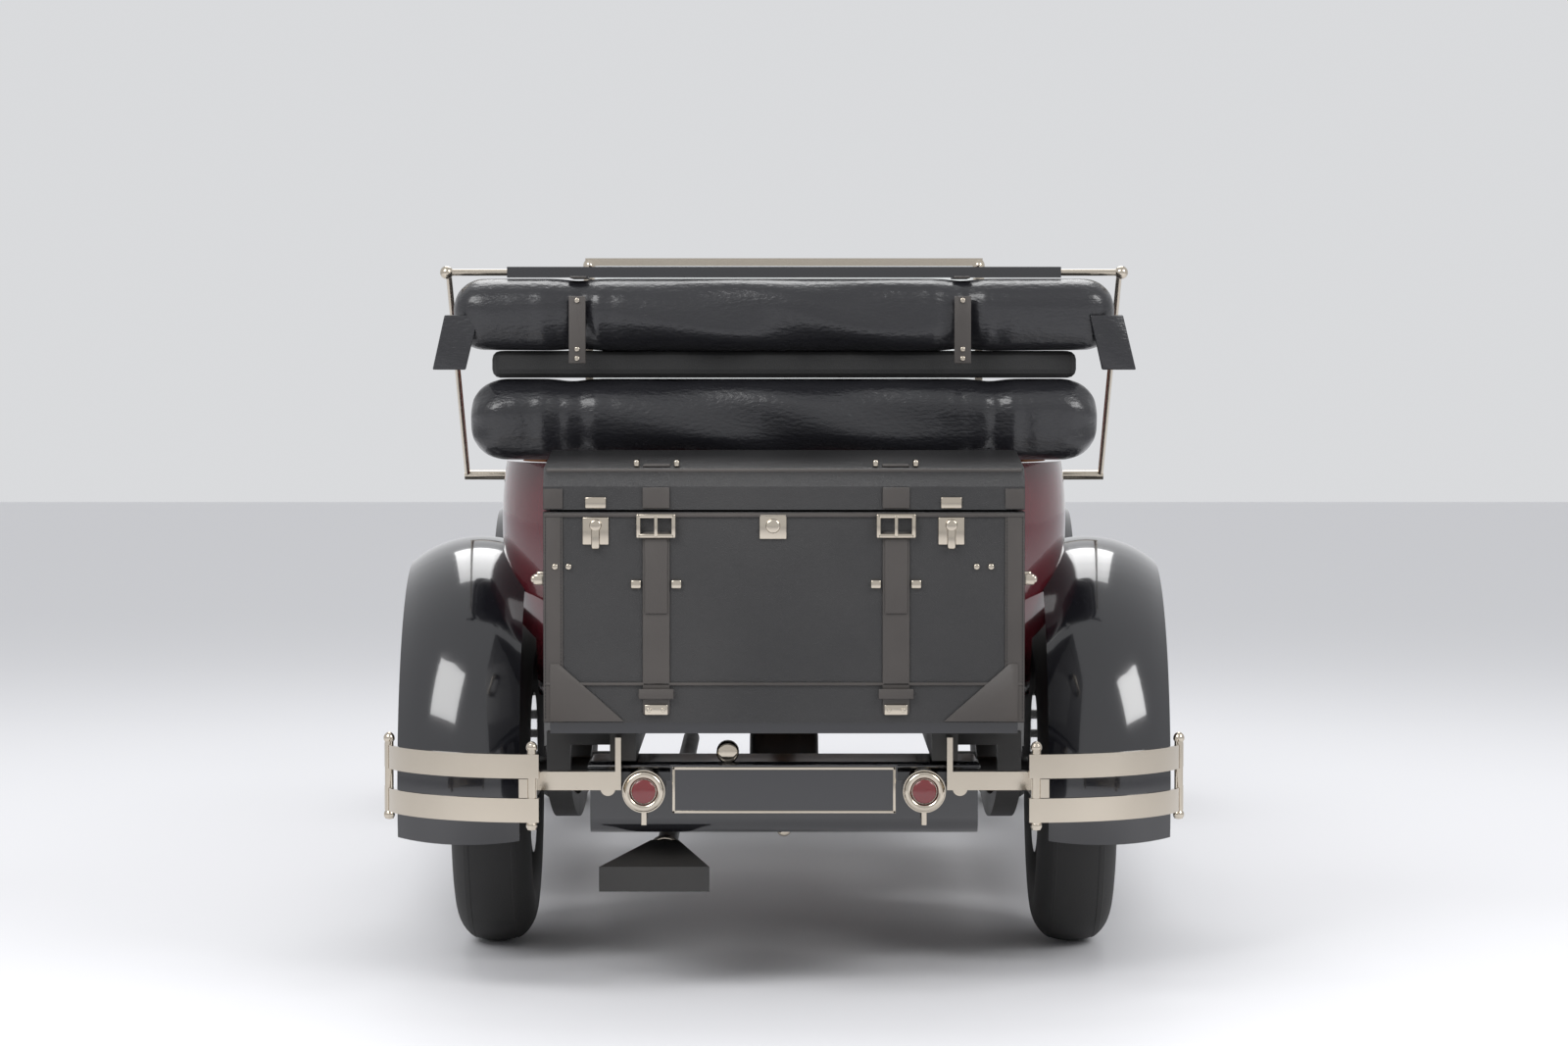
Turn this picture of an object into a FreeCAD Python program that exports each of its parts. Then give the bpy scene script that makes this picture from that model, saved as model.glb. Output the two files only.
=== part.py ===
"""Vintage open touring car with folded hood, rear luggage trunk and split rear bumpers.

Millimetres.  +Y is forward, +X is the car's right, +Z is up, origin on the floor under the middle.
"""
import FreeCAD
import Part
import math
import os

V = FreeCAD.Vector
os.makedirs("parts", exist_ok=True)

# Overall and running gear
BUMPER_Y = 2700            # bumper faces, front and rear
REAR_AXLE_Y = -1500
FRONT_AXLE_Y = 2100
HALF_TRACK = 712
TYRE_R = 420
TYRE_W = 194
RIM_R = 268
HUB_R = 75
DRUM_R = 200
DIFF_R = 140
KINGPIN_X = 590
ARM_LENGTH = 150           # steering arm behind the kingpin
WHEEL_GAP = 3              # running clearance at hubs

# Chassis
RAIL_IN = 340
RAIL_OUT = 400
RAIL_Z0 = 530
RAIL_Z1 = 620
RAIL_REAR_Y = -2430
RAIL_FRONT_Y = 2600
SPRING_X = 530
FRONT_SPRING_X = 370
SPRING_W = 56

# Body
BODY_Z = (625, 800, 1000, 1200)
BODY_HALF = (615, 662, 690, 682)
TAIL_Y = (-1890, -1940, -1965, -1955)
TAIL_R = 330
COWL_Y = 620
BODY_FRONT_Y = 780
COWL_HALF = 480
WALL = 40
ARCH_GAP = 12
FLOOR_T = 14
SCUTTLE_RISE = 120
DOOR_Z = 650
DOOR_GAP = 10
FRONT_DOOR = (20, 600)
REAR_DOOR = (-920, -380)
HINGE_OUT = 15
BODY_SKIN_X = 692

# Bonnet and radiator
BONNET_FRONT_Y = 2000
BONNET_NOSE_HALF = 290
BONNET_TOP = 1320
BONNET_LOW = 900
SHEET = 8
RADIATOR_T = 100

# Wings
WING_R = 587
WING_SHEET = 6
WING_IN = 630
WING_OUT = 922
FRONT_WING_IN = 480

# Luggage trunk and its platform
TRUNK_HALF = 550
TRUNK_Y0 = -2480
TRUNK_Y1 = -2040
TRUNK_Z0 = 622
TRUNK_SPLIT = 1104
TRUNK_BACK_TOP = 1192
TRUNK_TOP = 1235
TRUNK_WALL = 12
LID_GAP = 5
PLATFORM_T = 25

# Rear details
TANK_HALF = 446
TANK_Y = (-2420, -2130)
TANK_Z = (361, 524)
PLATE = (520, 6, 114)
PLATE_Z = 465
LAMP_X = 321
LAMP_R = 49
BAR_H = 54
BAR_T = 14
BAR_Z = (442, 541)

# Folded hood
HOOD_REAR_Y = -2010
HOOD_HALF = 803
HOOD_Z = (1470, 1645)
HOOD_DEPTH = 470
ROLL_HALF = 764
ROLL_Z = (1206, 1405)
ROLL_DEPTH = 330

# Windscreen
SCREEN_Y = 650
SCREEN_HALF = 584
SCREEN_TOP = 1735
SCREEN_T = 22

nodes = {}


def block(x0, x1, y0, y1, z0, z1):
    """Box between two corners."""
    return Part.makeBox(x1 - x0, y1 - y0, z1 - z0, V(x0, y0, z0))


def rounded(x0, x1, y0, y1, z0, z1, r):
    """Box with all its edges rounded."""
    solid = block(x0, x1, y0, y1, z0, z1)
    return solid.makeFillet(r, solid.Edges)


def rod(a, b, r):
    """Round bar from point a to point b."""
    a = V(*a)
    d = V(*b) - a
    return Part.makeCylinder(r, d.Length, a, d)


def disc(x, y, z, r, t):
    """Round plate whose axis is X, centred on x."""
    return Part.makeCylinder(r, t, V(x - t / 2, y, z), V(1, 0, 0))


def prism(points, direction):
    """Closed flat outline pushed along a direction."""
    wire = Part.makePolygon([V(*p) for p in points] + [V(*points[0])])
    return Part.Face(wire).extrude(V(*direction))


def group(*solids):
    """Solids that stay apart within one node."""
    return Part.makeCompound([s for solid in solids for s in solid.Solids])


def mirror(shape):
    """Copy on the other side of the car."""
    return shape.mirror(V(0, 0, 0), V(1, 0, 0))


def both(shape):
    """The shape and its twin on the other side."""
    return group(shape, mirror(shape))


def joined(shapes):
    """One solid out of pieces that overlap or touch."""
    result = shapes[0]
    for shape in shapes[1:]:
        result = result.fuse(shape)
    return result.removeSplitter()


# ---------------------------------------------------------------- body
def body_outline(z, half, tail, inset):
    """Plan of the body at one height: narrow cowl, straight sides, rounded tail."""
    w = half - inset
    t = tail + inset
    r = TAIL_R - inset
    f = BODY_FRONT_Y - inset
    c = COWL_HALF - inset
    s = r * (1 - math.sqrt(0.5))
    right = [V(c, f, z), V(w, COWL_Y, z), V(w, t + r, z), V(w - r, t, z)]
    left = [V(-p.x, p.y, z) for p in right]
    edges = [
        Part.LineSegment(left[0], right[0]),
        Part.LineSegment(right[0], right[1]),
        Part.LineSegment(right[1], right[2]),
        Part.Arc(right[2], V(w - s, t + s, z), right[3]),
        Part.LineSegment(right[3], left[3]),
        Part.Arc(left[3], V(-w + s, t + s, z), left[2]),
        Part.LineSegment(left[2], left[1]),
        Part.LineSegment(left[1], left[0]),
    ]
    return Part.Wire([e.toShape() for e in edges])


def body_volume(inset, grow):
    """Lofted body solid, inset all round and grown past its top and bottom."""
    heights = list(BODY_Z)
    heights[0] -= grow
    heights[-1] += grow
    wires = [body_outline(z, h, t, inset) for z, h, t in zip(heights, BODY_HALF, TAIL_Y)]
    return Part.makeLoft(wires, True, False)


body_outer = body_volume(0, 0)
body_inner = body_volume(WALL, 5)
shell = body_outer.cut(body_inner)
arch_x = HALF_TRACK - TYRE_W / 2 - ARCH_GAP
arch_hole = Part.makeCylinder(TYRE_R + 30, 300, V(arch_x, REAR_AXLE_Y, TYRE_R), V(1, 0, 0))
shell = shell.cut(arch_hole).cut(mirror(arch_hole))
door_names = {}
for place, (y0, y1) in (("front", FRONT_DOOR), ("rear", REAR_DOOR)):
    opening = block(400, 900, y0 - DOOR_GAP, y1 + DOOR_GAP, DOOR_Z - DOOR_GAP, 1300)
    panel = block(400, 900, y0, y1, DOOR_Z, 1300)
    door = shell.common(panel)
    nodes["door_%s_right" % place] = door
    nodes["door_%s_left" % place] = mirror(door)
    shell = shell.cut(opening).cut(mirror(opening))
deck = block(-700, 700, -1960, -1640, BODY_Z[-1] - 40, BODY_Z[-1] - 28).common(body_volume(WALL - 1, 0))
nodes["body_shell"] = joined([shell, deck])
floor = block(-700, 700, -1960, 780, BODY_Z[0] + 1, BODY_Z[0] + 1 + FLOOR_T)
nodes["floor"] = floor.common(body_volume(WALL + 0.3, 0))


def arch(y, half, drop):
    """Arched cross-section of the cowl: a flat foot and one arc over it."""
    z = BODY_Z[-1] + 0.5
    ends = (V(-half, y, z), V(half, y, z))
    foot = Part.LineSegment(ends[1], ends[0]).toShape()
    crown = Part.Arc(ends[0], V(0, y, z + SCUTTLE_RISE - drop), ends[1]).toShape()
    return Part.Wire([crown, foot])


scuttle_out = Part.makeLoft([arch(COWL_Y, 668, 0), arch(BODY_FRONT_Y, COWL_HALF - 8, 0)], True)
scuttle_in = Part.makeLoft([arch(COWL_Y - 2, 600, 18), arch(BODY_FRONT_Y - 20, COWL_HALF - 60, 18)], True)
nodes["scuttle"] = scuttle_out.cut(scuttle_in)
dash_face = Part.Face(arch(COWL_Y - 14, 630, 6))
dash_low = block(-600, 600, COWL_Y - 14, COWL_Y - 1, 1080, BODY_Z[-1] + 2)
nodes["dashboard"] = joined([dash_face.extrude(V(0, 13, 0)), dash_low])


# ---------------------------------------------------------------- bonnet, radiator, engine
def bonnet_section(y, half, inset):
    """Half section of the bonnet at one station."""
    x = half - inset
    top = BONNET_TOP - inset
    shoulder = top - 110
    z0 = BONNET_LOW - inset
    pts = [V(6, y, z0), V(x, y, z0), V(x, y, shoulder)]
    edges = [
        Part.LineSegment(pts[0], pts[1]),
        Part.LineSegment(pts[1], pts[2]),
        Part.Arc(pts[2], V(x * 0.66, y, top - 34), V(6, y, top)),
        Part.LineSegment(V(6, y, top), pts[0]),
    ]
    return Part.Wire([e.toShape() for e in edges])


bonnet_y = (BODY_FRONT_Y + 8, BONNET_FRONT_Y)
bonnet_half = (COWL_HALF - 12, BONNET_NOSE_HALF)
bonnet_out = Part.makeLoft([bonnet_section(y, h, 0) for y, h in zip(bonnet_y, bonnet_half)], True)
bonnet_in = Part.makeLoft([bonnet_section(y, h, SHEET) for y, h in zip(bonnet_y, bonnet_half)], True)
bonnet = bonnet_out.cut(bonnet_in)
nodes["bonnet_right"] = bonnet
nodes["bonnet_left"] = mirror(bonnet)
side_foot = [(bonnet_half[0], bonnet_y[0], RAIL_Z1 + 0.3), (bonnet_half[1], bonnet_y[1], RAIL_Z1 + 0.3),
             (bonnet_half[1] - SHEET, bonnet_y[1], RAIL_Z1 + 0.3),
             (bonnet_half[0] - SHEET, bonnet_y[0], RAIL_Z1 + 0.3)]
side = prism(side_foot, (0, 0, BONNET_LOW - RAIL_Z1 - 8.3))
nodes["bonnet_sides"] = both(side)
radiator_y = BONNET_FRONT_Y + 8
radiator = rounded(-300, 300, radiator_y, radiator_y + RADIATOR_T, 560, BONNET_TOP + 10, 30)
core_hole = block(-250, 250, radiator_y - 1, radiator_y + RADIATOR_T + 1, 610, 1230)
nodes["radiator_shell"] = radiator.cut(core_hole)
nodes["radiator_core"] = block(-249.7, 249.7, radiator_y + 20, radiator_y + 80, 610.3, 1229.7)
nodes["engine_block"] = block(-180, 180, 1000, 1800, 545, 1060)
nodes["propeller_shaft"] = rod((0, -1340, 430), (0, 990, 580), 32)

# ---------------------------------------------------------------- chassis
rail = block(RAIL_IN, RAIL_OUT, RAIL_REAR_Y, RAIL_FRONT_Y, RAIL_Z0, RAIL_Z1)
cross_y = (-2110, -950, 400, 1880, 2480)
members = [rail, mirror(rail)]
for y in cross_y:
    members.append(block(-RAIL_IN - 10, RAIL_IN + 10, y - 30, y + 30, RAIL_Z1 - 24, RAIL_Z1 - 4))
spring_y = (REAR_AXLE_Y - 650, REAR_AXLE_Y + 650)
for y in spring_y:
    hanger = block(RAIL_OUT - 10, SPRING_X + SPRING_W / 2, y - 25, y + 25, 545, 575)
    drop = block(SPRING_X - SPRING_W / 2, SPRING_X + SPRING_W / 2, y - 25, y + 25, 450.3, 560)
    members += [hanger, drop, mirror(hanger), mirror(drop)]
nodes["chassis_frame"] = joined(members)


def leaf_stack(x, y, reach, z_mid, z_end, t):
    """Semi-elliptic leaf spring, bowed down in the middle."""
    low = Part.Arc(V(x, y - reach, z_end), V(x, y, z_mid), V(x, y + reach, z_end)).toShape()
    high = Part.Arc(V(x, y - reach, z_end + 14), V(x, y, z_mid + t), V(x, y + reach, z_end + 14)).toShape()
    ends = [Part.makeLine(V(x, y + s * reach, z_end), V(x, y + s * reach, z_end + 14)) for s in (-1, 1)]
    wire = Part.Wire(Part.sortEdges([low, high] + ends)[0])
    return Part.Face(wire).extrude(V(SPRING_W, 0, 0))


nodes["rear_springs"] = both(leaf_stack(SPRING_X - SPRING_W / 2, REAR_AXLE_Y, 640, 318, 436, 60))
nodes["front_springs"] = both(leaf_stack(FRONT_SPRING_X - SPRING_W / 2, FRONT_AXLE_Y, 460, 410.3, 515.7, 50))
axle_tube = rod((-HALF_TRACK + 100, REAR_AXLE_Y, TYRE_R), (HALF_TRACK - 100, REAR_AXLE_Y, TYRE_R), 38)
casing = disc(0, REAR_AXLE_Y, TYRE_R, DIFF_R, 170)
differential = casing.makeFillet(50, casing.Edges)
nodes["rear_axle"] = joined([axle_tube, differential])
beam = block(-KINGPIN_X + 40, KINGPIN_X - 40, FRONT_AXLE_Y - 32, FRONT_AXLE_Y + 32, 340, 410)
nodes["front_axle"] = beam


def exhaust():
    """Long pipe and fishtail outlet."""
    x = -278
    pipe = rod((x, 900, 300), (x, -2300, 300), 24)
    rear = Part.makePolygon([V(-424, -2470, 233), V(-171, -2470, 233), V(-171, -2470, 290),
                             V(-424, -2470, 290), V(-424, -2470, 233)])
    front = Part.makePolygon([V(x - 32, -2280, 268), V(x + 32, -2280, 268), V(x + 32, -2280, 332),
                              V(x - 32, -2280, 332), V(x - 32, -2280, 268)])
    return joined([pipe, Part.makeLoft([rear, front], True, True)])


nodes["exhaust"] = exhaust()
tank = block(-TANK_HALF, TANK_HALF, TANK_Y[0], TANK_Y[1], TANK_Z[0], TANK_Z[1])
nodes["fuel_tank"] = tank.makeFillet(40, [e for e in tank.Edges if e.Length > 2 * TANK_HALF - 1])

# ---------------------------------------------------------------- wheels and steering


def wheel(x):
    """Spoked wheel with rim, hub and brake drum, lying on the X axis at its place."""
    s = 1 if x > 0 else -1
    rim = disc(0, 0, 0, RIM_R, 150).cut(disc(0, 0, 0, RIM_R - 22, 160))
    hub = disc(0, 0, 0, HUB_R, 110)
    spokes = []
    for i in range(12):
        spoke = block(-17, 17, -20, 20, HUB_R - 8, RIM_R - 12)
        spoke.rotate(V(0, 0, 0), V(1, 0, 0), i * 30)
        spokes.append(spoke)
    drum = disc(-70 * s, 0, 0, DRUM_R, 36)
    neck = disc(-50 * s, 0, 0, HUB_R, 70)
    solid = joined([rim, hub, drum, neck] + spokes)
    bore = disc(0, 0, 0, 22 + WHEEL_GAP, 400)
    return solid.cut(bore)


def tyre():
    """Tyre of rounded section around the rim."""
    w = TYRE_W / 2
    side = [V(-70, 0, RIM_R), V(-w, 0, RIM_R + 62), V(-w + 34, 0, TYRE_R - 14)]
    edges = [
        Part.Arc(side[0], side[1], side[2]),
        Part.Arc(side[2], V(0, 0, TYRE_R), V(w - 34, 0, TYRE_R - 14)),
        Part.Arc(V(w - 34, 0, TYRE_R - 14), V(w, 0, RIM_R + 62), V(70, 0, RIM_R)),
        Part.LineSegment(V(70, 0, RIM_R), side[0]),
    ]
    face = Part.Face(Part.Wire([e.toShape() for e in edges]))
    return face.revolve(V(0, 0, 0), V(1, 0, 0), 360)


tyre_shape = tyre()
for end, y in (("front", FRONT_AXLE_Y), ("rear", REAR_AXLE_Y)):
    for name, x in (("left", -HALF_TRACK), ("right", HALF_TRACK)):
        for label, shape in (("tyre", tyre_shape.copy()), ("wheel", wheel(x))):
            shape.translate(V(x, y, TYRE_R))
            nodes["%s_%s_%s" % (label, end, name)] = shape
stub = rod((HALF_TRACK - 130, REAR_AXLE_Y, TYRE_R), (HALF_TRACK + 30, REAR_AXLE_Y, TYRE_R), 22)
nodes["rear_axle"] = joined([nodes["rear_axle"], stub, mirror(stub)])
knuckle = joined([
    rod((KINGPIN_X, FRONT_AXLE_Y, 300), (KINGPIN_X, FRONT_AXLE_Y, 470), 24),
    rod((KINGPIN_X, FRONT_AXLE_Y, TYRE_R), (HALF_TRACK + 30, FRONT_AXLE_Y, TYRE_R), 22),
    block(KINGPIN_X - 16, KINGPIN_X + 16, FRONT_AXLE_Y - ARM_LENGTH - 16, FRONT_AXLE_Y, 304, 322),
])
nodes["steering_knuckle_right"] = knuckle
nodes["steering_knuckle_left"] = mirror(knuckle)
rod_y = FRONT_AXLE_Y - ARM_LENGTH
nodes["track_rod"] = rod((-KINGPIN_X, rod_y, 286), (KINGPIN_X, rod_y, 286), 13)
column_foot = V(330, 720, 858)
wheel_centre = V(330, 300, 1085)
column_dir = (wheel_centre - column_foot).normalize()
column_top = wheel_centre - column_dir * 20.3
nodes["steering_column"] = Part.makeCylinder(20, (column_top - column_foot).Length, column_foot, column_dir)
ring = Part.makeTorus(205, 13, wheel_centre, column_dir)
boss = Part.makeCylinder(34, 40, wheel_centre - column_dir * 20, column_dir)
arms = []
for i in range(4):
    arm = Part.makeCylinder(8, 200, wheel_centre, V(1, 0, 0))
    arm.rotate(wheel_centre, column_dir, 45 + i * 90)
    arms.append(arm)
nodes["steering_wheel"] = joined([ring, boss] + arms)


# ---------------------------------------------------------------- wings and running boards
def wing_section(inner, r, y0):
    """Crowned strip of sheet across a wing, above its axle."""
    mid = (inner + WING_OUT) / 2
    drop = 60
    outer = [V(inner, y0, TYRE_R + r - drop / 2), V(mid, y0, TYRE_R + r), V(WING_OUT, y0, TYRE_R + r - drop)]
    under = [V(p.x, p.y, p.z - WING_SHEET) for p in outer]
    edges = [
        Part.Arc(outer[0], outer[1], outer[2]).toShape(),
        Part.makeLine(outer[2], under[2]),
        Part.Arc(under[2], under[1], under[0]).toShape(),
        Part.makeLine(under[0], outer[0]),
    ]
    return Part.Face(Part.Wire(edges))


def swept_wing(inner, axle_y, rear_angle, front_angle):
    """Wing turned about its axle, angles measured from straight up."""
    face = wing_section(inner, WING_R, axle_y)
    centre = V(0, axle_y, TYRE_R)
    face.rotate(centre, V(1, 0, 0), front_angle)
    return face.revolve(centre, V(1, 0, 0), rear_angle - front_angle)


rear_wing = swept_wing(WING_IN, REAR_AXLE_Y, 102, -88).cut(body_outer)
rear_wing = max(rear_wing.Solids, key=lambda s: s.Volume)
nodes["rear_wings"] = both(rear_wing)
tail_angle = 50
front_wing = swept_wing(FRONT_WING_IN, FRONT_AXLE_Y, tail_angle, -80)
tail = wing_section(FRONT_WING_IN, WING_R, FRONT_AXLE_Y)
tail.rotate(V(0, FRONT_AXLE_Y, TYRE_R), V(1, 0, 0), tail_angle)
a = math.radians(tail_angle)
tail_run = (WING_R * math.cos(a) + TYRE_R - 440) / math.sin(a)
tail = tail.extrude(V(0, -math.cos(a), -math.sin(a)) * tail_run)
nodes["front_wings"] = both(joined([front_wing, tail]))
board_front = FRONT_AXLE_Y - WING_R * math.sin(a) - tail_run * math.cos(a) - 12
board = block(WING_IN - 5, WING_OUT - 4, REAR_AXLE_Y + WING_R + 12, board_front, 400, 432)
nodes["running_boards"] = both(board)
stays = []
for y in (-700, 0, 700):
    stays.append(block(RAIL_OUT + 0.3, WING_OUT - 60, y - 20, y + 20, 380, 399.5))
    stays.append(block(RAIL_OUT + 0.3, RAIL_OUT + 20, y - 20, y + 20, 380, 600))
stays = [joined(stays[i:i + 2]) for i in (0, 2, 4)]
nodes["board_brackets"] = both(group(*stays))

# ---------------------------------------------------------------- trunk, platform, rear fittings
end_points = [(0, TRUNK_Y0, TRUNK_SPLIT + LID_GAP), (0, TRUNK_Y0, TRUNK_BACK_TOP - 30),
              (0, TRUNK_Y0 + 40, TRUNK_BACK_TOP + 12), (0, TRUNK_Y1, TRUNK_TOP),
              (0, TRUNK_Y1, TRUNK_SPLIT + LID_GAP)]
lid = prism([(-TRUNK_HALF, p[1], p[2]) for p in end_points], (2 * TRUNK_HALF, 0, 0))
w = TRUNK_WALL
hollow_points = [(0, TRUNK_Y0 + w, TRUNK_SPLIT - 1), (0, TRUNK_Y0 + w, TRUNK_BACK_TOP - 36),
                 (0, TRUNK_Y0 + 46, TRUNK_BACK_TOP - 2), (0, TRUNK_Y1 - w, TRUNK_TOP - w),
                 (0, TRUNK_Y1 - w, TRUNK_SPLIT - 1)]
lid_hollow = prism([(-TRUNK_HALF + w, p[1], p[2]) for p in hollow_points], (2 * TRUNK_HALF - 2 * w, 0, 0))
nodes["trunk_lid"] = lid.cut(lid_hollow)
chest = block(-TRUNK_HALF, TRUNK_HALF, TRUNK_Y0, TRUNK_Y1, TRUNK_Z0, TRUNK_SPLIT)
inside = block(-TRUNK_HALF + w, TRUNK_HALF - w, TRUNK_Y0 + w, TRUNK_Y1 - w, TRUNK_Z0 + w, TRUNK_SPLIT + 1)
nodes["trunk_body"] = chest.cut(inside)
platform = [block(-535, 535, TRUNK_Y0 + 5, -2010, TRUNK_Z0 - PLATFORM_T, TRUNK_Z0 - 0.3)]
rack_z = RAIL_Z1 + 0.3
platform[0] = platform[0].cut(block(-RAIL_OUT - 1, -RAIL_IN + 1, -2440, -2000, 500, rack_z))
platform[0] = platform[0].cut(block(RAIL_IN - 1, RAIL_OUT + 1, -2440, -2000, 500, rack_z))
nodes["luggage_rack"] = platform[0].cut(block(-352, 352, -2150, -2070, 500, rack_z))
plate_y = TANK_Y[0] - 30
plate = block(-PLATE[0] / 2, PLATE[0] / 2, plate_y - PLATE[1], plate_y, PLATE_Z - PLATE[2] / 2,
              PLATE_Z + PLATE[2] / 2)
plate_stays = [block(x - 15, x + 15, plate_y, TANK_Y[0], 440, 470) for x in (-200, 200)]
nodes["number_plate"] = joined([plate] + plate_stays)
lamps = []
for s in (-1, 1):
    drum = rod((s * LAMP_X, -2490, PLATE_Z), (s * LAMP_X, TANK_Y[0], PLATE_Z), LAMP_R)
    knob = rod((s * 404, -2450, PLATE_Z + 3), (s * 404, TANK_Y[0], PLATE_Z + 3), 17)
    lamps += [drum, knob]
nodes["tail_lamps"] = group(*lamps)


def bumper_bar(z):
    """Right half bar, flat at the middle and bowed forward at its outer end."""
    outer = [V(550, -BUMPER_Y, z), V(793, -BUMPER_Y + 88, z), V(WING_OUT, -2390, z)]
    inner = [V(p.x - 2, p.y + BAR_T, p.z) for p in outer]
    edges = [
        Part.Arc(*outer).toShape(),
        Part.makeLine(outer[2], inner[2]),
        Part.Arc(inner[2], inner[1], inner[0]).toShape(),
        Part.makeLine(inner[0], outer[0]),
    ]
    bar = Part.Face(Part.Wire(edges)).extrude(V(0, 0, BAR_H))
    return bar


def rear_bumper():
    """Two bars, their two upright rods and the bracket to the chassis."""
    bars = [bumper_bar(BAR_Z[0] - BAR_H / 2), bumper_bar(BAR_Z[1] - BAR_H / 2)]
    posts = [rod((566, -BUMPER_Y + 12, 398), (566, -BUMPER_Y + 12, 590), 10),
             rod((WING_OUT - 15, -2432, 398), (WING_OUT - 15, -2432, 590), 10)]
    arm = block(555, 595, -BUMPER_Y + 8, -2500, 470, 512)
    foot_x = LAMP_X + LAMP_R + 2
    tie = block(foot_x, 595, -2510, -2470, 470, 512)
    foot = block(foot_x, foot_x + 13, -2510, RAIL_REAR_Y - 0.3, 470, 590)
    return joined(bars + posts + [arm, tie, foot])


right_bumper = rear_bumper()
nodes["rear_bumpers"] = both(right_bumper)
front_bar = block(-800, 800, BUMPER_Y - 16, BUMPER_Y, 440, 500)
irons = [block(s * 370 - 25, s * 370 + 25, RAIL_FRONT_Y + 0.3, BUMPER_Y - 10, 450, 600) for s in (-1, 1)]
nodes["front_bumper"] = joined([front_bar] + irons)
lamp_bar = rod((-FRONT_WING_IN - 30, 2335, 917), (FRONT_WING_IN + 30, 2335, 917), 14)
lamp_parts = [lamp_bar]
for s in (-1, 1):
    bowl = Part.makeSphere(140, V(s * 300, 2335, 1010)).common(block(-500, 500, 2150, 2400, 800, 1200))
    lamp_parts += [bowl, rod((s * 300, 2335, 880), (s * 300, 2335, 960), 16)]
nodes["headlamps"] = joined(lamp_parts).cut(nodes["front_wings"])

# ---------------------------------------------------------------- cabin
SEAT_FOOT = BODY_Z[0] + 1 + FLOOR_T + 0.3
seat_front = [(0, -260, SEAT_FOOT), (0, 210, SEAT_FOOT), (0, 225, 815), (0, -150, 790), (0, -225, 1160), (0, -320, 1160)]
nodes["front_seat"] = prism([(-560, p[1], p[2]) for p in seat_front], (1120, 0, 0))
seat_rear = [(0, -1560, SEAT_FOOT), (0, -1010, SEAT_FOOT), (0, -1000, 815), (0, -1420, 790), (0, -1500, 1150),
             (0, -1610, 1150)]
nodes["rear_seat"] = prism([(-555, p[1], p[2]) for p in seat_rear], (1110, 0, 0))
t = SCREEN_T
frame = block(-SCREEN_HALF, SCREEN_HALF, SCREEN_Y, SCREEN_Y + t, 1205, SCREEN_TOP)
frame = frame.cut(block(-SCREEN_HALF + t, SCREEN_HALF - t, SCREEN_Y - 1, SCREEN_Y + t + 1, 1345, SCREEN_TOP - t))
frame = frame.cut(block(-SCREEN_HALF + t, SCREEN_HALF - t, SCREEN_Y - 1, SCREEN_Y + t + 1, 1200, 1323))
frame = frame.cut(Part.makeLoft([arch(COWL_Y, 668, 0), arch(BODY_FRONT_Y, COWL_HALF - 8, 0)], True))
frame = max(frame.Solids, key=lambda s: s.Volume)
nodes["windscreen_frame"] = frame
nodes["windscreen_glass"] = block(-SCREEN_HALF + t + 0.3, SCREEN_HALF - t - 0.3, SCREEN_Y + 8, SCREEN_Y + 14,
                                  1345.3, SCREEN_TOP - t - 0.3)

# ---------------------------------------------------------------- folded hood
roll_y = HOOD_REAR_Y + 20
lower = rounded(-ROLL_HALF, ROLL_HALF, roll_y, roll_y + ROLL_DEPTH, ROLL_Z[0], ROLL_Z[1], 80)
nodes["hood_lower_roll"] = lower
upper = rounded(-HOOD_HALF, HOOD_HALF, HOOD_REAR_Y, HOOD_REAR_Y + HOOD_DEPTH, HOOD_Z[0], HOOD_Z[1], 78)
nodes["hood_upper_roll"] = upper
pleats = block(-700, 700, HOOD_REAR_Y + 70, HOOD_REAR_Y + 320, ROLL_Z[1] + 0.3, HOOD_Z[0] - 0.3)
nodes["hood_pleats"] = pleats
bow = block(-664, 664, HOOD_REAR_Y + 90, HOOD_REAR_Y + 160, HOOD_Z[1] + 0.3, HOOD_Z[1] + 26)
nodes["hood_bow"] = bow
iron_x = HOOD_HALF + 8
pivot = (iron_x, -1150, 1150)
knee = (iron_x, HOOD_REAR_Y + 200, HOOD_Z[1] + 8)
iron = rod(pivot, knee, 7)
pin = rod((690, -1150, 1150), (iron_x + 7, -1150, 1150), 12)
rail_bar = rod((664.3, HOOD_REAR_Y + 125, HOOD_Z[1] + 13), (iron_x + 8, HOOD_REAR_Y + 125, HOOD_Z[1] + 13), 8)
cap = Part.makeSphere(16, V(iron_x, HOOD_REAR_Y + 125, HOOD_Z[1] + 13))
link = rod((iron_x, HOOD_REAR_Y + 205, HOOD_Z[1] + 8), (iron_x, HOOD_REAR_Y + 125, HOOD_Z[1] + 13), 7)
iron_set = joined([iron, pin, rail_bar, cap, link]).cut(body_outer)
iron_set = max(iron_set.Solids, key=lambda s: s.Volume)
nodes["hood_irons"] = both(iron_set)

for name, shape in nodes.items():
    shape.exportStep("parts/%s.step" % name)
    print(name, shape.isValid(), len(shape.Solids), round(shape.Volume / 1e9, 4))
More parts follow.
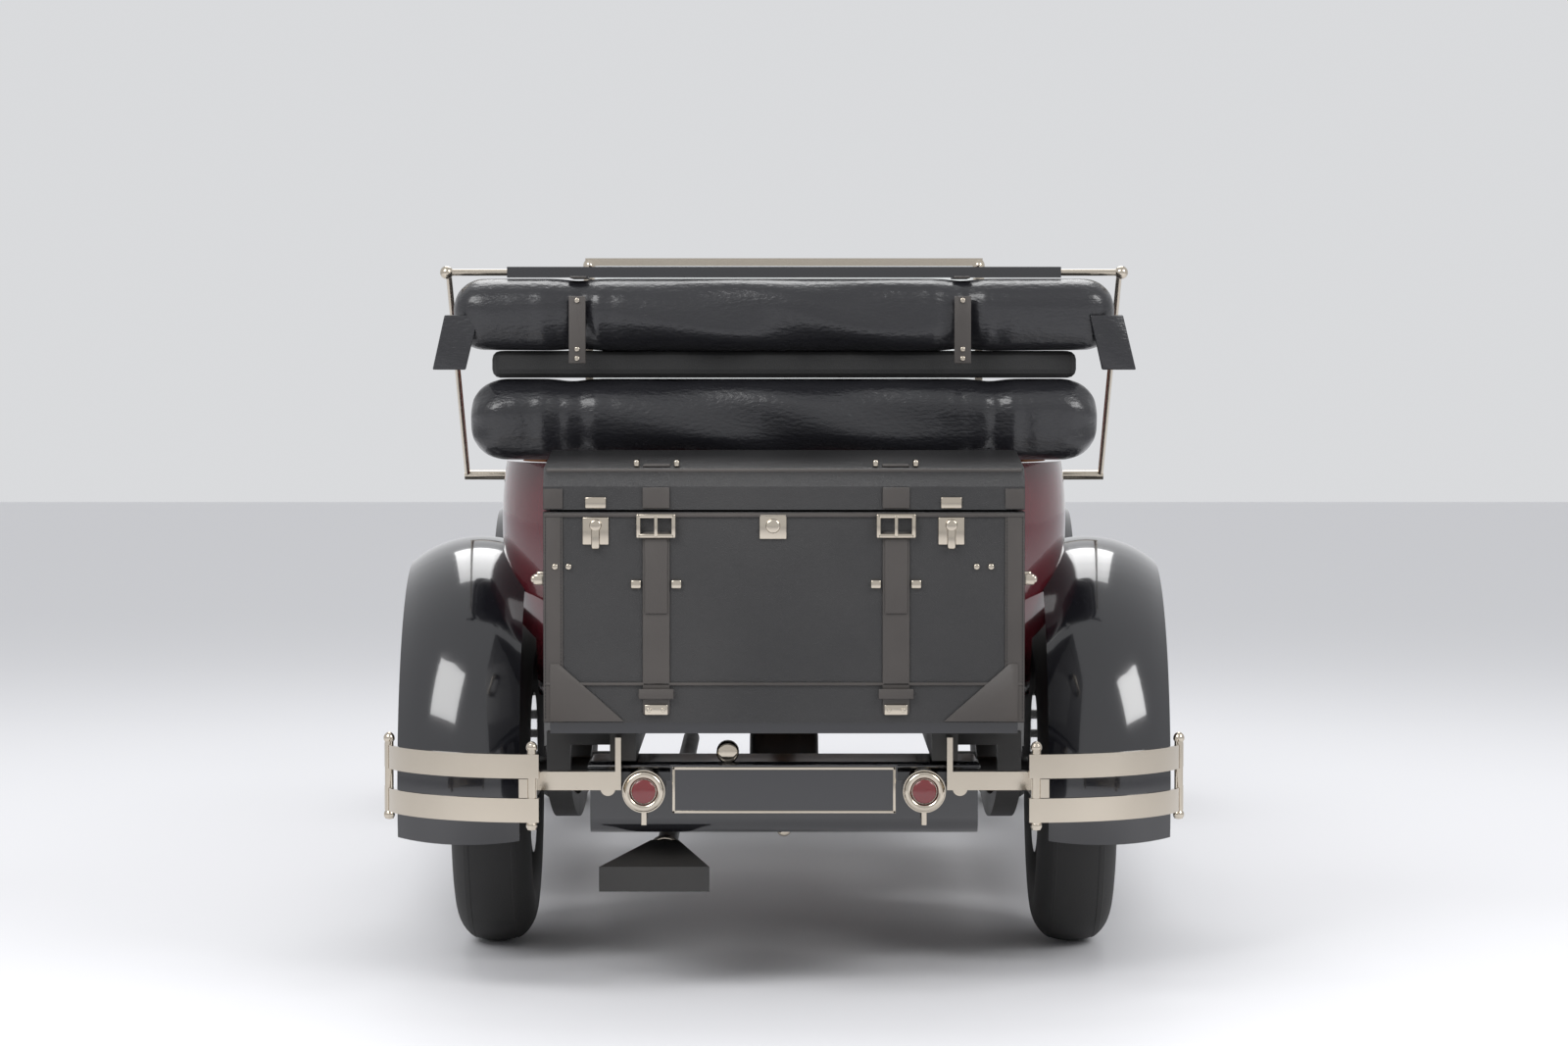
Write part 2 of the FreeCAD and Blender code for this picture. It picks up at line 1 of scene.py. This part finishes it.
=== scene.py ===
"""Vintage open touring car: finishes, straps, buckles, seams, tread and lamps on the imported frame."""
import bpy
import math
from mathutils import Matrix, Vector


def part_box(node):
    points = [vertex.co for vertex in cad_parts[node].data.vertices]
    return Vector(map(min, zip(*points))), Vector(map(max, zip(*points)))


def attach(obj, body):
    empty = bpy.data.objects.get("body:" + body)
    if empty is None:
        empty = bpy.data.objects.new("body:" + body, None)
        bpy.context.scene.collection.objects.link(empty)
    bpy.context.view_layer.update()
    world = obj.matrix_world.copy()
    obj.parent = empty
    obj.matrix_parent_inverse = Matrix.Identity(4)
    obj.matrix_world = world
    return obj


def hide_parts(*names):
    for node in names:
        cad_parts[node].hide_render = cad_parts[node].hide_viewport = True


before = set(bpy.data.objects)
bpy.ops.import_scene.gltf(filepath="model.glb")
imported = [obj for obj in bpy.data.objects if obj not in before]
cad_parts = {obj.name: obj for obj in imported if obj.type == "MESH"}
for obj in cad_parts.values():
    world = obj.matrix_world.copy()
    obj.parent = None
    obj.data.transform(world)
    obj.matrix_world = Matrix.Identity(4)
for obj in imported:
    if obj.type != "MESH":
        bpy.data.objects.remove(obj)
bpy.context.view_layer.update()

bpy.ops.object.select_all(action="DESELECT")


# Finishes of the pieces that carry over: enamel, plate, hide, leathercloth, rubber and wood.  Each has a
# colour that clouds a little between two shades, a gloss that varies with it, and a fine relief of its own.
def node(tree, kind, settings, sockets):
    """Add a node: its settings first, then the value of, or the link into, each socket."""
    made = tree.nodes.new(kind)
    for key, value in settings.items():
        setattr(made, key, value)
    for key, value in sockets.items():
        if isinstance(value, bpy.types.NodeSocket):
            tree.links.new(value, made.inputs[key])
        else:
            made.inputs[key].default_value = value
    return made


def finish(name, dark, light, rough, metal, scale, bump, coat=0.0, stretch=(1, 1, 1), grained=False):
    """Material whose colour runs from dark to light; grained gives the cells of leather, not a fine cloud."""
    mat = bpy.data.materials.new(name)
    mat.use_nodes = True
    tree = mat.node_tree
    shader = tree.nodes["Principled BSDF"]
    shader.inputs["Metallic"].default_value = metal
    shader.inputs["Coat Weight"].default_value = coat
    shader.inputs["Coat Roughness"].default_value = 0.04
    place = node(tree, "ShaderNodeTexCoord", {}, {})
    turn = node(tree, "ShaderNodeMapping", {}, {"Vector": place.outputs["Object"], "Scale": stretch})
    where = turn.outputs["Vector"]
    cloud = node(tree, "ShaderNodeTexNoise", {}, {"Vector": where, "Scale": 3.5, "Detail": 6}).outputs["Fac"]
    tint = node(tree, "ShaderNodeMix", {"data_type": "RGBA"},
                {"Factor": cloud, "A": (*dark, 1), "B": (*light, 1)})
    gloss = node(tree, "ShaderNodeMapRange", {},
                 {"Value": cloud, "To Min": rough * 0.7, "To Max": rough * 1.3})
    if grained:
        relief = node(tree, "ShaderNodeTexVoronoi", {}, {"Vector": where, "Scale": scale}).outputs["Distance"]
    else:
        relief = node(tree, "ShaderNodeTexNoise", {}, {"Vector": where, "Scale": scale}).outputs["Fac"]
    raised = node(tree, "ShaderNodeBump", {}, {"Height": relief, "Strength": bump, "Distance": 0.002})
    tree.links.new(tint.outputs["Result"], shader.inputs["Base Color"])
    tree.links.new(gloss.outputs["Result"], shader.inputs["Roughness"])
    tree.links.new(raised.outputs["Normal"], shader.inputs["Normal"])
    return mat


maroon = finish("maroon_enamel", (0.075, 0.008, 0.013), (0.10, 0.012, 0.018), 0.16, 0.0, 300, 0.015, 1.0)
black = finish("black_enamel", (0.006, 0.006, 0.008), (0.012, 0.012, 0.015), 0.14, 0.0, 250, 0.02, 1.0)
frame_black = finish("frame_black", (0.012, 0.012, 0.012), (0.03, 0.028, 0.026), 0.45, 0.0, 120, 0.15)
nickel = finish("nickel_plate", (0.50, 0.44, 0.36), (0.66, 0.60, 0.51), 0.13, 1.0, 200, 0.02)
leather = finish("trunk_leather", (0.010, 0.010, 0.011), (0.028, 0.027, 0.027), 0.36, 0.0, 420, 0.5, 0.15,
                 grained=True)
hide = finish("strap_hide", (0.030, 0.026, 0.024), (0.075, 0.066, 0.060), 0.42, 0.0, 700, 0.35)
cloth = finish("hood_leathercloth", (0.008, 0.008, 0.010), (0.018, 0.018, 0.021), 0.30, 0.0, 60, 0.9, 0.25,
               stretch=(1, 1, 2.5))
lining = finish("hood_lining", (0.008, 0.008, 0.008), (0.02, 0.02, 0.02), 0.75, 0.0, 500, 0.5)
seat_hide = finish("seat_hide", (0.06, 0.012, 0.012), (0.11, 0.025, 0.02), 0.38, 0.0, 300, 0.4, 0.1,
                   grained=True)
rubber = finish("tyre_rubber", (0.012, 0.012, 0.012), (0.03, 0.029, 0.028), 0.7, 0.0, 200, 0.3)
walnut = finish("walnut", (0.10, 0.04, 0.015), (0.25, 0.11, 0.045), 0.3, 0.0, 12, 0.1, 0.6,
                stretch=(1, 8, 8))
iron = finish("cast_iron", (0.04, 0.04, 0.04), (0.09, 0.085, 0.08), 0.6, 0.3, 150, 0.4)
honeycomb = finish("radiator_core", (0.01, 0.01, 0.01), (0.05, 0.05, 0.05), 0.5, 0.6, 140, 1.0,
                   grained=True)
glass = finish("screen_glass", (0.85, 0.93, 0.90), (0.92, 0.97, 0.95), 0.03, 0.0, 2, 0.01)
glass.node_tree.nodes["Principled BSDF"].inputs["Alpha"].default_value = 0.18

# The first entry that a node's name starts with is its finish; chassis pieces that match none are frame_black.
dress = {
    "door": maroon, "body_shell": maroon, "scuttle": maroon, "bonnet": maroon, "floor": walnut,
    "dashboard": walnut, "hood_bow": black, "radiator_shell": nickel, "radiator_core": honeycomb,
    "engine": iron, "tyre": rubber, "wheel": black, "rear_wings": black, "front_wings": black,
    "running": frame_black, "trunk": leather, "tail_lamps": nickel, "rear_bumpers": nickel,
    "front_bumper": nickel, "headlamps": nickel, "windscreen_frame": nickel, "windscreen_glass": glass,
    "hood_irons": nickel, "front_seat": seat_hide, "rear_seat": seat_hide, "number_plate": black,
    "fuel_tank": black, "hood": cloth, "steering_wheel": black, "luggage": black,
}
for obj in [o for o in bpy.data.objects if o.type == "MESH"]:
    picked = [mat for start, mat in dress.items() if obj.name.startswith(start)]
    chosen = picked[0] if picked else frame_black
    if not obj.data.materials:
        obj.data.materials.append(chosen)
    for slot in obj.material_slots:
        slot.material = chosen


# Luggage trunk fittings: two hide straps over the lid, roller buckles, latches, lock, bound edges and
# stitched corner patches.  The straps are riveted to the trunk; their lid halves lift with the lid.
def pick(obj):
    """Select one piece only, and make it active."""
    bpy.ops.object.select_all(action="DESELECT")
    obj.select_set(True)
    bpy.context.view_layer.objects.active = obj


def apply_all(obj):
    """Apply the piece's modifiers in order."""
    pick(obj)
    for mod in list(obj.modifiers):
        bpy.ops.object.modifier_apply(modifier=mod.name)


def slab(low, high, edge):
    """A bar or pad between two corners, with rounded edges."""
    size = [h - l for l, h in zip(low, high)]
    bpy.ops.mesh.primitive_cube_add(size=1, location=[(h + l) / 2 for l, h in zip(low, high)])
    obj = bpy.context.object
    obj.scale = size
    bpy.ops.object.transform_apply(location=True, rotation=True, scale=True)
    bevel = obj.modifiers.new("edge", "BEVEL")
    bevel.width = min(edge, min(size) * 0.45)
    bevel.segments = 3
    apply_all(obj)
    return obj


def out_slab(side, near, far, y0, y1, z0, z1, edge):
    """A slab that reaches outwards from x near to x far on one side of the car."""
    ends = (side * near, side * far)
    return slab((min(ends), y0, z0), (max(ends), y1, z1), edge)


def stud(x, y, z, radius, length):
    """A round-headed fixing that faces the rear."""
    bpy.ops.mesh.primitive_cylinder_add(vertices=20, radius=radius, depth=length, location=(x, y, z),
                                        rotation=(math.pi / 2, 0, 0))
    obj = bpy.context.object
    bevel = obj.modifiers.new("edge", "BEVEL")
    bevel.width = min(radius, length) * 0.35
    bevel.segments = 3
    bevel.limit_method = "ANGLE"
    apply_all(obj)
    return obj


def merged(parts):
    """Join a list of parts into one piece."""
    bpy.ops.object.select_all(action="DESELECT")
    for part in parts:
        part.select_set(True)
    bpy.context.view_layer.objects.active = parts[0]
    bpy.ops.object.join()
    return bpy.context.object


def settle(obj, name, mat, body):
    """Freeze a finished piece in place, name it, give it its finish and the body it rides on."""
    pick(obj)
    bpy.ops.object.transform_apply(location=True, rotation=True, scale=True)
    obj.name = name
    obj.data.materials.clear()
    obj.data.materials.append(mat)
    bpy.ops.object.shade_smooth_by_angle(angle=math.radians(40))
    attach(obj, body)
    return obj


low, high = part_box("trunk_body")
lid_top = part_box("trunk_lid")[1][2]
back, foot, split = low[1], low[2], high[2]
strap_places = (-0.292, 0.256)
latch_places = (-0.430, 0.382)
rivet_places = (-0.523, -0.492, 0.44, 0.473)
strap_half = 0.031


def on_back(x, half, z0, z1, near, far, edge):
    """A slab on the trunk's rear face, from near to far proud of it."""
    return slab((x - half, back - far, z0), (x + half, back - near, z1), edge)


hides = []
lid_hides = []
plated = []
lid_plated = []
for x in strap_places:
    hides.append(on_back(x, strap_half, foot + 0.02, split - 0.045, 0.001, 0.006, 0.002))
    hides.append(on_back(x, 0.026, foot + 0.25, split - 0.06, 0.006, 0.011, 0.002))
    lid_hides.append(on_back(x, strap_half, split + 0.008, lid_top - 0.075, 0.001, 0.006, 0.002))
    lid_hides.append(slab((x - strap_half, back + 0.045, lid_top - 0.030),
                          (x + strap_half, back + 0.13, lid_top - 0.024), 0.002))
    # Roller buckle: two bars, two sides and the prong.
    for z in (split - 0.054, split - 0.009):
        plated.append(on_back(x, 0.042, z - 0.005, z + 0.005, 0.007, 0.020, 0.003))
    for side in (-1, 1):
        plated.append(on_back(x + side * 0.040, 0.005, split - 0.059, split - 0.004, 0.007, 0.020, 0.003))
    plated.append(on_back(x, 0.004, split - 0.056, split - 0.008, 0.018, 0.024, 0.002))
    # Keeper lugs beside the strap's tongue, and the loop and riveted plate at its foot.
    for side in (-1, 1):
        plated.append(on_back(x + side * 0.046, 0.012, split - 0.175, split - 0.155, 0.001, 0.010, 0.004))
    hides.append(on_back(x, 0.040, foot + 0.055, foot + 0.078, 0.011, 0.018, 0.002))
    plated.append(on_back(x, 0.027, foot + 0.018, foot + 0.042, 0.006, 0.012, 0.003))
    plated += [stud(x + side * 0.016, back - 0.014, foot + 0.030, 0.005, 0.006) for side in (-1, 1)]
    for x0 in (x - 0.052, x + 0.040):
        lid_plated.append(slab((x0, back + 0.043, lid_top - 0.030),
                               (x0 + 0.012, back + 0.12, lid_top - 0.014), 0.004))
for x in latch_places:
    plated.append(on_back(x, 0.030, split - 0.075, split - 0.012, 0.001, 0.006, 0.003))
    plated.append(on_back(x, 0.010, split - 0.085, split - 0.030, 0.006, 0.020, 0.006))
    plated.append(stud(x, back - 0.012, split - 0.03, 0.014, 0.018))
    lid_plated.append(on_back(x, 0.024, split + 0.008, split + 0.034, 0.001, 0.007, 0.003))
plated.append(on_back(-0.025, 0.031, split - 0.062, split - 0.004, 0.001, 0.006, 0.004))
plated.append(stud(-0.025, back - 0.010, split - 0.032, 0.017, 0.014))
for x in rivet_places:
    plated.append(stud(x, back - 0.004, split - 0.125, 0.007, 0.007))

patch_height = 0.135
for side in (-1, 1):
    binding = side * 0.527
    hides.append(on_back(binding, 0.022, foot + 0.002, split - 0.003, 0.0005, 0.004, 0.0015))
    lid_hides.append(on_back(binding, 0.022, split + 0.007, lid_top - 0.078, 0.0005, 0.004, 0.0015))
    # Corner patch: its width falls with height, so that it comes out as a triangle.
    patch = on_back(side * 0.46, 0.075, foot + 0.003, foot + patch_height, 0.003, 0.007, 0.001)
    corner = side * 0.538
    for vert in patch.data.vertices:
        share = (vert.co.z - foot) / patch_height
        if abs(vert.co.x - corner) > 0.01:
            vert.co.x = corner + (vert.co.x - corner) * max(0.12, 1.15 - share)
    hides.append(patch)
hides.append(on_back(0, 0.545, foot + 0.085, foot + 0.092, 0.0005, 0.006, 0.002))
hides.append(on_back(0, 0.548, split - 0.012, split - 0.002, 0.0005, 0.006, 0.003))

stitch_pitch = 0.008
stitches = []
for side in (-1, 1):
    for column in (0.509, 0.545):
        for i in range(58):
            z = foot + 0.01 + i * stitch_pitch
            stitches.append(on_back(side * column, 0.0009, z, z + 0.005, 0.0036, 0.0052, 0.0004))
settle(merged(hides), "trunk_straps_lower", hide, "car")
settle(merged(stitches), "trunk_stitching", lining, "car")
settle(merged(lid_hides), "trunk_straps_lid", hide, "trunk_lid_body")
settle(merged(plated), "trunk_buckles_and_latches", nickel, "car")
settle(merged(lid_plated), "trunk_lid_hasps", nickel, "trunk_lid_body")
piping = slab((-0.545, back + 0.030, lid_top - 0.043), (0.545, back + 0.040, lid_top - 0.033), 0.004)
settle(piping, "trunk_lid_piping", hide, "trunk_lid_body")


# Folded hood: two thick rolls of leathercloth, one in the well and one strapped on top.  Each starts as a
# rounded cushion, creases along its length, fans at its ends, and is pinched where a strap holds it.
def hood_roll(cad_node, name, pinched_at, sag, depth):
    """Model one roll in the space of its plain solid, and let it stand for that solid."""
    low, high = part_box(cad_node)
    half = (high[0] - low[0]) / 2
    middle = Vector([(h + l) / 2 for l, h in zip(low, high)])
    bpy.ops.mesh.primitive_cube_add(size=2, location=(0, 0, 0))
    obj = bpy.context.object
    obj.scale = (half * 0.985, (high[1] - low[1]) / 2 * 0.97, (high[2] - low[2]) / 2 * 0.97)
    bpy.ops.object.transform_apply(location=True, rotation=True, scale=True)
    bevel = obj.modifiers.new("round", "BEVEL")
    bevel.width = (high[2] - low[2]) * 0.40
    bevel.segments = 8
    apply_all(obj)
    remesh = obj.modifiers.new("cloth", "REMESH")
    remesh.mode = "VOXEL"
    remesh.voxel_size = 0.012
    apply_all(obj)
    for vert in obj.data.vertices:
        x, y, z = vert.co
        outward = -1 if y < 0 else 1
        end = max(0.0, abs(x) / half - 0.86) / 0.14
        fold = 0.006 * math.sin(34 * z + 5 * math.sin(3.1 * x) + 2 * x) * (1 - end)
        fan = 0.010 * end * math.sin(math.atan2(z, y + 0.03) * 9)
        pull = sum(math.exp(-((x - p) / 0.035) ** 2) for p in pinched_at)
        crease = 0.004 * math.sin(95 * x) * sum(math.exp(-((x - p) / 0.09) ** 2) for p in pinched_at)
        vert.co.y += (fold + fan + crease - depth * pull) * outward
        if z < 0:
            vert.co.z -= sag * (1 - (x / half) ** 2)
        vert.co.z *= 1 - 0.06 * pull
    for vert in obj.data.vertices:
        vert.co += middle
    smooth = obj.modifiers.new("smooth", "SMOOTH")
    smooth.iterations = 2
    fine = obj.modifiers.new("fine", "SUBSURF")
    fine.levels = 1
    fine.render_levels = 1
    apply_all(obj)
    settle(obj, name, cloth, "car")
    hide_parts(cad_node)


hood_strap_places = (-0.492, 0.425)
hood_roll("hood_upper_roll", "hood_bundle", hood_strap_places, 0.004, 0.014)
hood_roll("hood_lower_roll", "hood_well_roll", (-0.512, 0.497), 0.002, 0.008)


# Gathers of the hood between the two rolls: one slack fold of lining, pleated on its rear side.
low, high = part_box("hood_pleats")
gathers = slab(low, high, 0.02)
bpy.context.view_layer.objects.active = gathers
bpy.ops.object.mode_set(mode="EDIT")
bpy.ops.mesh.select_all(action="SELECT")
bpy.ops.mesh.subdivide(number_cuts=12)
bpy.ops.object.mode_set(mode="OBJECT")
for vert in gathers.data.vertices:
    if vert.co.y < (low[1] + high[1]) / 2:
        vert.co.y += 0.006 * math.sin(vert.co.x * 150)
settle(gathers, "hood_gathers", lining, "car")
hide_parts("hood_pleats")


# Hood straps: two narrow hide straps that hold the bundle down, each with three nickel rivets.
low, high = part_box("hood_upper_roll")
straps = []
rivets = []
for x in hood_strap_places:
    straps.append(slab((x - 0.020, low[1] - 0.004, low[2] - 0.03),
                       (x + 0.020, low[1] + 0.002, high[2] - 0.045), 0.002))
    straps.append(slab((x - 0.020, low[1] + 0.05, high[2] - 0.002),
                       (x + 0.020, low[1] + 0.25, high[2] + 0.003), 0.002))
    for z in (low[2] - 0.018, low[2] + 0.004, high[2] - 0.055):
        rivets.append(stud(x, low[1] - 0.006, z, 0.006, 0.005))
settle(merged(straps), "hood_straps", hide, "car")
settle(merged(rivets), "hood_strap_rivets", nickel, "car")


# Small nickel fittings: acorn nuts on the bumper rods, windscreen finials, the tank's drain plug and filler
# collar, and the trunk's end handles.  Each is turned brass, plated, and screwed on.
def acorn(x, y, z, radius):
    """A nut with a domed top, a little taller above than below."""
    bpy.ops.mesh.primitive_uv_sphere_add(segments=20, ring_count=12, radius=radius, location=(x, y, z))
    obj = bpy.context.object
    for vert in obj.data.vertices:
        vert.co.z *= 0.8 if vert.co.z < 0 else 1.15
    return obj


fittings = []
low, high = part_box("rear_bumpers")
for side in (-1, 1):
    for z in (high[2] - 0.008, low[2] + 0.008):
        fittings.append(acorn(side * 0.566, -2.686, z, 0.013))
        fittings.append(acorn(side * 0.907, -2.432, z, 0.013))
low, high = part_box("windscreen_frame")
for x in (low[0] + 0.011, high[0] - 0.011):
    fittings.append(acorn(x, low[1] + 0.011, high[2] - 0.022, 0.018))
    fittings.append(slab((x - 0.016, low[1] - 0.006, high[2] - 0.075),
                         (x + 0.016, low[1] + 0.028, high[2] - 0.045), 0.008))
tank_low, tank_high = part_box("fuel_tank")
fittings.append(acorn(0, tank_low[1] + 0.10, tank_low[2] - 0.004, 0.016))
fittings.append(stud(-0.13, tank_low[1] + 0.05, tank_high[2] + 0.022, 0.026, 0.05))
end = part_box("trunk_body")[1][0]
for side in (-1, 1):
    for y in (-2.33, -2.19):
        fittings.append(out_slab(side, end, end + 0.03, y - 0.012, y + 0.012, 0.93, 0.955, 0.005))
    fittings.append(out_slab(side, end + 0.022, end + 0.036, -2.335, -2.185, 0.934, 0.951, 0.006))
settle(merged(fittings), "nickel_fittings", nickel, "car")


# Tank flange: the folded seam where the tank's top and bottom pressings meet.
flange = slab((tank_low[0] - 0.006, tank_low[1] - 0.004, tank_high[2] - 0.012),
              (tank_high[0] + 0.006, tank_high[1], tank_high[2] - 0.004), 0.003)
settle(flange, "tank_flange", black, "car")


# Side flaps of the folded hood: single thicknesses of leathercloth that hang from the bundle's ends and
# flare outwards as they fall.
low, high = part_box("hood_upper_roll")
flap_top = low[2] + 0.085
flap_drop = 0.13
flaps = []
for side in (-1, 1):
    flap = out_slab(side, high[0] - 0.075, high[0] + 0.005, low[1] + 0.012, low[1] + 0.020,
                    flap_top - flap_drop, flap_top, 0.003)
    for vert in flap.data.vertices:
        fall = (flap_top - vert.co.z) / flap_drop
        vert.co.x += side * 0.030 * fall
        vert.co.y += 0.010 * math.sin(fall * 3 + vert.co.x * 40)
    flaps.append(flap)
settle(merged(flaps), "hood_side_flaps", cloth, "car")


# Number plate: a plain black pressed plate with a raised, polished border and nothing on it.
low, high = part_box("number_plate")
face = low[1] - 0.0005
inset = 0.004
bead = 0.006
x0, x1, z0, z1 = low[0] + inset, high[0] - inset, low[2] + inset, high[2] - inset
border = [slab((a, face - 0.002, b), (c, face, d), 0.002) for a, b, c, d in (
    (x0, z0, x1, z0 + bead), (x0, z1 - bead, x1, z1), (x0, z0, x0 + bead, z1), (x1 - bead, z0, x1, z1))]
settle(merged(border), "number_plate_border", nickel, "car")


# Tail lamps: ruby lenses in nickel bezels, with a cable gland below each.
ruby = finish("red_lens", (0.10, 0.004, 0.006), (0.16, 0.006, 0.008), 0.1, 0.0, 90, 0.3, 1.0)
lamp_z = (low[2] + high[2]) / 2
lamp_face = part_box("tail_lamps")[0][1]
lenses = []
bezels = []
for x in (-0.321, 0.321):
    lenses.append(stud(x, lamp_face - 0.004, lamp_z, 0.028, 0.012))
    bpy.ops.mesh.primitive_torus_add(location=(x, lamp_face - 0.001, lamp_z), rotation=(math.pi / 2, 0, 0),
                                     major_radius=0.038, minor_radius=0.009,
                                     major_segments=48, minor_segments=12)
    bezels.append(bpy.context.object)
    bpy.ops.mesh.primitive_cylinder_add(vertices=16, radius=0.007, depth=0.035,
                                        location=(x, lamp_face + 0.03, lamp_z - 0.062))
    bezels.append(bpy.context.object)
settle(merged(lenses), "tail_lamp_lenses", ruby, "car")
settle(merged(bezels), "tail_lamp_bezels", nickel, "car")


# Exhaust clamp: a nickel band round the pipe just ahead of the outlet.
low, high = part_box("exhaust")
bpy.ops.mesh.primitive_torus_add(location=(-0.278, low[1] + 0.21, 0.302), rotation=(math.pi / 2, 0, 0),
                                 major_radius=0.032, minor_radius=0.008, major_segments=32, minor_segments=10)
settle(bpy.context.object, "exhaust_clamp", nickel, "car")


# Tyre tread and hub caps: five moulded ribs round each tyre, the outer ones lower on the crown, and a nickel
# cap pressed over each hub.  Both turn with their wheel.
shoulder = 0.052
rib_half = 0.0095
for axle in ("front", "rear"):
    for hand in ("left", "right"):
        low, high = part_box("tyre_%s_%s" % (axle, hand))
        centre = [(h + l) / 2 for l, h in zip(low, high)]
        radius = (high[2] - low[2]) / 2
        wheel_body = "wheel_%s_%s_body" % (axle, hand)
        ribs = []
        for offset in (-shoulder, -shoulder / 2, 0, shoulder / 2, shoulder):
            drop = 0.007 * (offset / shoulder) ** 2
            bpy.ops.mesh.primitive_torus_add(location=(centre[0] + offset, centre[1], centre[2]),
                                             rotation=(0, math.pi / 2, 0),
                                             major_radius=radius - 0.0105 - drop, minor_radius=rib_half,
                                             major_segments=96, minor_segments=8)
            ribs.append(bpy.context.object)
        settle(merged(ribs), "tread_%s_%s" % (axle, hand), rubber, wheel_body)
        cap_x = centre[0] + math.copysign(0.03, centre[0])
        bpy.ops.mesh.primitive_uv_sphere_add(segments=32, ring_count=16, radius=0.075,
                                             location=(cap_x, centre[1], centre[2]))
        cap = bpy.context.object
        cap.scale = (0.75, 1, 1)
        settle(cap, "hub_cap_%s_%s" % (axle, hand), nickel, wheel_body)


# Seats: hide cushions and backs sewn into upright flutes, in the space of the plain seat shapes.
flutes = 14
for cad_node in ("front_seat", "rear_seat"):
    low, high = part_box(cad_node)
    cushion_top = low[2] + 0.15
    back_y = low[1] + 0.155
    step = (high[0] - low[0]) / flutes
    pads = []
    for i in range(flutes):
        x0 = low[0] + i * step + 0.001
        x1 = x0 + step - 0.002
        pads.append(slab((x0, back_y - 0.02, low[2] + 0.002), (x1, high[1] - 0.003, cushion_top), 0.03))
        pads.append(slab((x0, low[1] + 0.004, low[2] + 0.002), (x1, back_y - 0.03, high[2] - 0.004), 0.035))
    seat = settle(merged(pads), cad_node + "_trim", seat_hide, "car")
    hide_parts(cad_node)


# Door handles: a nickel lever on a short spindle, near the rear edge of each door.
for row in ("front", "rear"):
    for hand, side in (("left", -1), ("right", 1)):
        low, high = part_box("door_%s_%s" % (row, hand))
        skin = max(abs(low[0]), abs(high[0]))
        rear = low[1]
        z = low[2] + 0.37
        spindle = out_slab(side, skin - 0.004, skin + 0.034, rear + 0.06, rear + 0.076,
                           z - 0.008, z + 0.008, 0.003)
        lever = out_slab(side, skin + 0.024, skin + 0.038, rear + 0.05, rear + 0.16,
                         z - 0.010, z + 0.010, 0.006)
        settle(merged([spindle, lever]), "door_handle_%s_%s" % (row, hand), nickel,
               "door_%s_%s_body" % (row, hand))


# Studio: a pale floor, three large soft lamps and a plain pale world.
bpy.ops.mesh.primitive_plane_add(size=60, location=(0, 0, 0))
floor = bpy.context.object
floor.name = "studio_floor"
pale = bpy.data.materials.new("studio_floor")
pale.use_nodes = True
pale.node_tree.nodes["Principled BSDF"].inputs["Base Color"].default_value = (0.78, 0.78, 0.80, 1)
pale.node_tree.nodes["Principled BSDF"].inputs["Roughness"].default_value = 0.5
floor.data.materials.append(pale)
world = bpy.data.worlds.new("studio")
bpy.context.scene.world = world
world.use_nodes = True
world.node_tree.nodes["Background"].inputs["Color"].default_value = (0.93, 0.94, 0.96, 1)
world.node_tree.nodes["Background"].inputs["Strength"].default_value = 0.75
lit_spot = Vector((0, -1.5, 0.8))
for place, size, power in (((-4, -7, 6), 4, 320), ((5, -6, 5), 3, 220), ((0, 3, 7), 5, 260)):
    lamp = bpy.data.lights.new("soft_lamp", "AREA")
    lamp.size = size
    lamp.energy = power
    holder = bpy.data.objects.new("soft_lamp", lamp)
    bpy.context.collection.objects.link(holder)
    holder.location = place
    holder.rotation_euler = (lit_spot - Vector(place)).to_track_quat("-Z", "Y").to_euler()


# Camera: straight behind the car, a little above its middle, tipped slightly down.
lens = bpy.data.cameras.new("camera")
lens.lens = 108.4
lens.sensor_width = 36
camera = bpy.data.objects.new("camera", lens)
bpy.context.collection.objects.link(camera)
camera.location = (0.0, -13.25, 1.5)
camera.rotation_euler = (math.radians(90 - 2.24), 0, 0)
bpy.context.scene.camera = camera
bpy.context.scene.view_settings.view_transform = "Standard"
